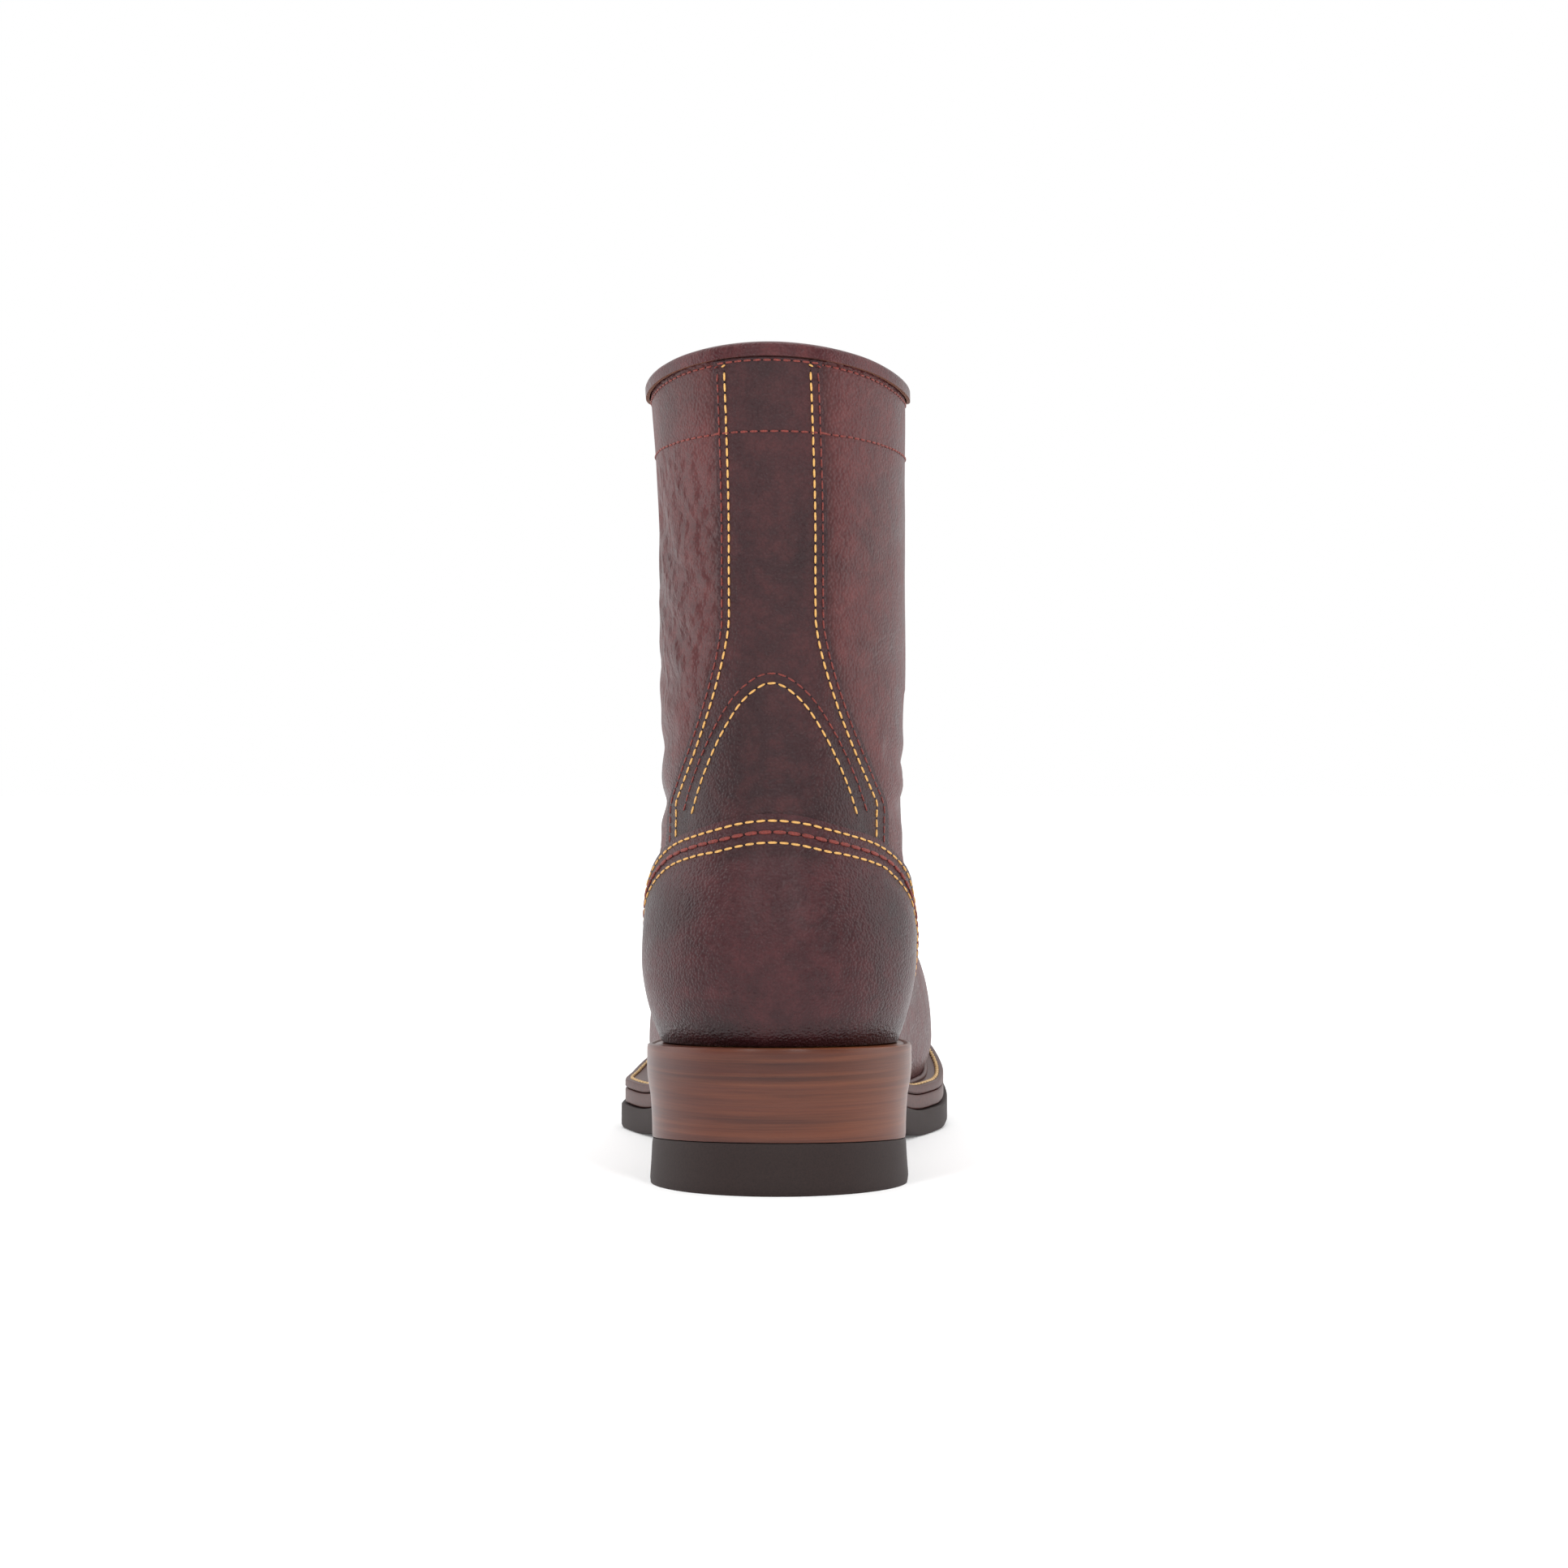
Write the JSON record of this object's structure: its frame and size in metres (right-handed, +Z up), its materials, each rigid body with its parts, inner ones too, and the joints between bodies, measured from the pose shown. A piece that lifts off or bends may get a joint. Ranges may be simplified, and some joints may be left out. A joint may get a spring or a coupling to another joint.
{
  "type": "packer boot",
  "caption": "Laced leather packer boot for the left foot with a flared backstay, a counter cover, a stacked leather heel and a rubber half sole",
  "frame": {"origin": "on the floor, under the middle of the heel: 40 mm in front of the back of the heel seat", "axes": "+Y runs along the boot from heel to toe, +Z is up, +X is the inner side of the left foot"},
  "size_m": [0.1135, 0.3099, 0.2555],
  "materials": {
    "upper": "semi-gloss, pebbled",
    "tongue": "soft",
    "insole": "matt",
    "welt": "waxed",
    "midsole": "waxed",
    "half_sole": "matt",
    "top_lift": "matt",
    "heel_lift_1": "waxed, streaked",
    "heel_lift_2": "waxed, streaked",
    "heel_lift_3": "waxed, streaked",
    "heel_lift_4": "waxed, streaked",
    "counter": "semi-gloss",
    "backstay": "semi-gloss",
    "collar_binding": "semi-gloss",
    "facing_medial": "semi-gloss",
    "facing_lateral": "semi-gloss",
    "eyelet_medial_1": "aged",
    "eyelet_medial_2": "aged",
    "eyelet_medial_3": "aged",
    "eyelet_medial_4": "aged",
    "eyelet_medial_5": "aged",
    "eyelet_medial_6": "aged",
    "eyelet_medial_7": "aged",
    "eyelet_lateral_1": "aged",
    "eyelet_lateral_2": "aged",
    "eyelet_lateral_3": "aged",
    "eyelet_lateral_4": "aged",
    "eyelet_lateral_5": "aged",
    "eyelet_lateral_6": "aged",
    "eyelet_lateral_7": "aged",
    "lace_bar": "braided",
    "lace_cross_1": "braided",
    "lace_cross_2": "braided",
    "lace_cross_3": "braided",
    "lace_cross_4": "braided",
    "lace_cross_5": "braided",
    "lace_cross_6": "braided"
  },
  "bodies": {
    "root": {"upper": "upper", "tongue": "tongue", "insole": "insole", "welt": "welt", "midsole": "midsole", "half_sole": "half_sole", "top_lift": "top_lift", "heel_lift_1": "heel_lift_1", "heel_lift_2": "heel_lift_2", "heel_lift_3": "heel_lift_3", "heel_lift_4": "heel_lift_4", "counter": "counter", "backstay": "backstay", "collar_binding": "collar_binding", "facing_medial": "facing_medial", "facing_lateral": "facing_lateral", "eyelet_medial_1": "eyelet_medial_1", "eyelet_medial_2": "eyelet_medial_2", "eyelet_medial_3": "eyelet_medial_3", "eyelet_medial_4": "eyelet_medial_4", "eyelet_medial_5": "eyelet_medial_5", "eyelet_medial_6": "eyelet_medial_6", "eyelet_medial_7": "eyelet_medial_7", "eyelet_lateral_1": "eyelet_lateral_1", "eyelet_lateral_2": "eyelet_lateral_2", "eyelet_lateral_3": "eyelet_lateral_3", "eyelet_lateral_4": "eyelet_lateral_4", "eyelet_lateral_5": "eyelet_lateral_5", "eyelet_lateral_6": "eyelet_lateral_6", "eyelet_lateral_7": "eyelet_lateral_7", "lace_bar": "lace_bar", "lace_cross_1": "lace_cross_1", "lace_cross_2": "lace_cross_2", "lace_cross_3": "lace_cross_3", "lace_cross_4": "lace_cross_4", "lace_cross_5": "lace_cross_5", "lace_cross_6": "lace_cross_6"}
  },
  "joints": []
}
